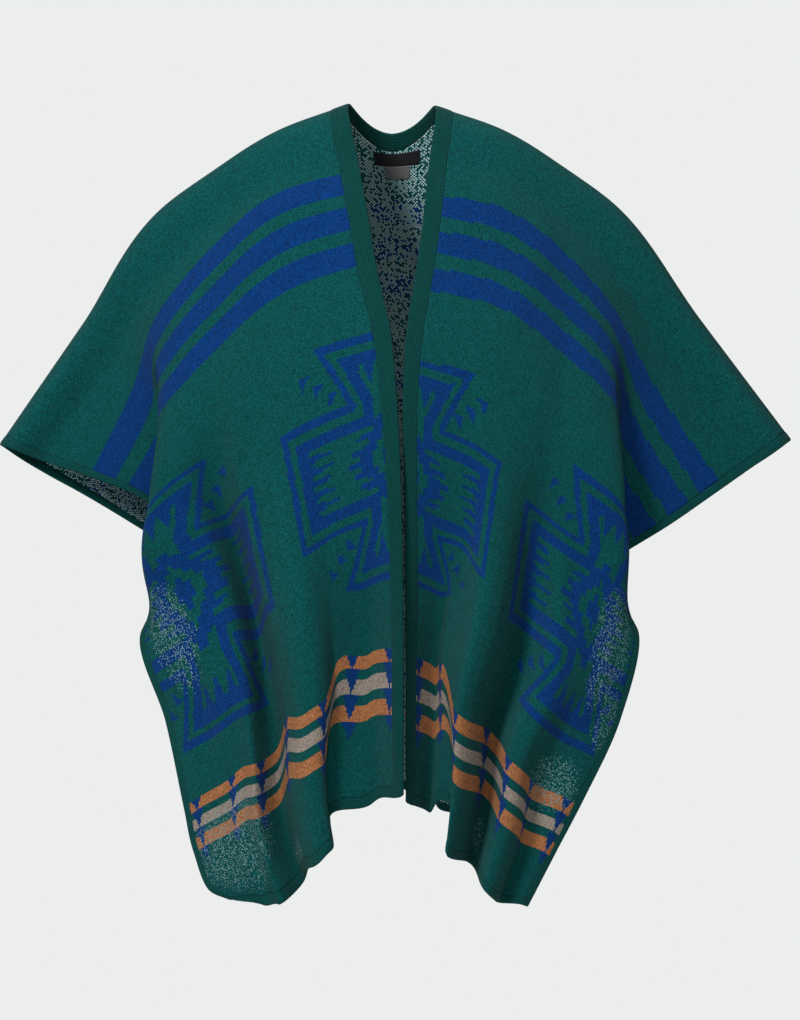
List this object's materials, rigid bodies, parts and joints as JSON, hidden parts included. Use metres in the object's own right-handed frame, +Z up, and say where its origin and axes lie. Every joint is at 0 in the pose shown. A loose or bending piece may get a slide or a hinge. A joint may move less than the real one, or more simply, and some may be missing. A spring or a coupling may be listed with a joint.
{
  "type": "cape",
  "caption": "Open-fronted knitted cape with wide sleeve-like side openings, striped and bordered, filled out as if worn.",
  "frame": {"origin": "between the shoulders, level with the base of the neck, where the wearer carries the cape", "axes": "+X to the right as seen from the front, +Y from front to back, +Z up"},
  "size_m": [0.8686, 0.311, 0.874],
  "materials": {
    "knit": "soft jacquard knit, matt",
    "trim": "ribbed knit edging, matt",
    "label_black": "woven satin label, blank",
    "label_grey": "printed satin care label, blank"
  },
  "bodies": {
    "root": {"front_left": "knit", "front_band_left": "trim", "side_band_front_left": "trim", "hem_front_left": "trim", "front_right": "knit", "front_band_right": "trim", "side_band_front_right": "trim", "hem_front_right": "trim", "back": "knit", "side_band_back_left": "trim", "side_band_back_right": "trim", "hem_back": "trim", "neck_band": "trim", "neck_label": "label_black", "care_label": "label_grey"}
  },
  "joints": []
}
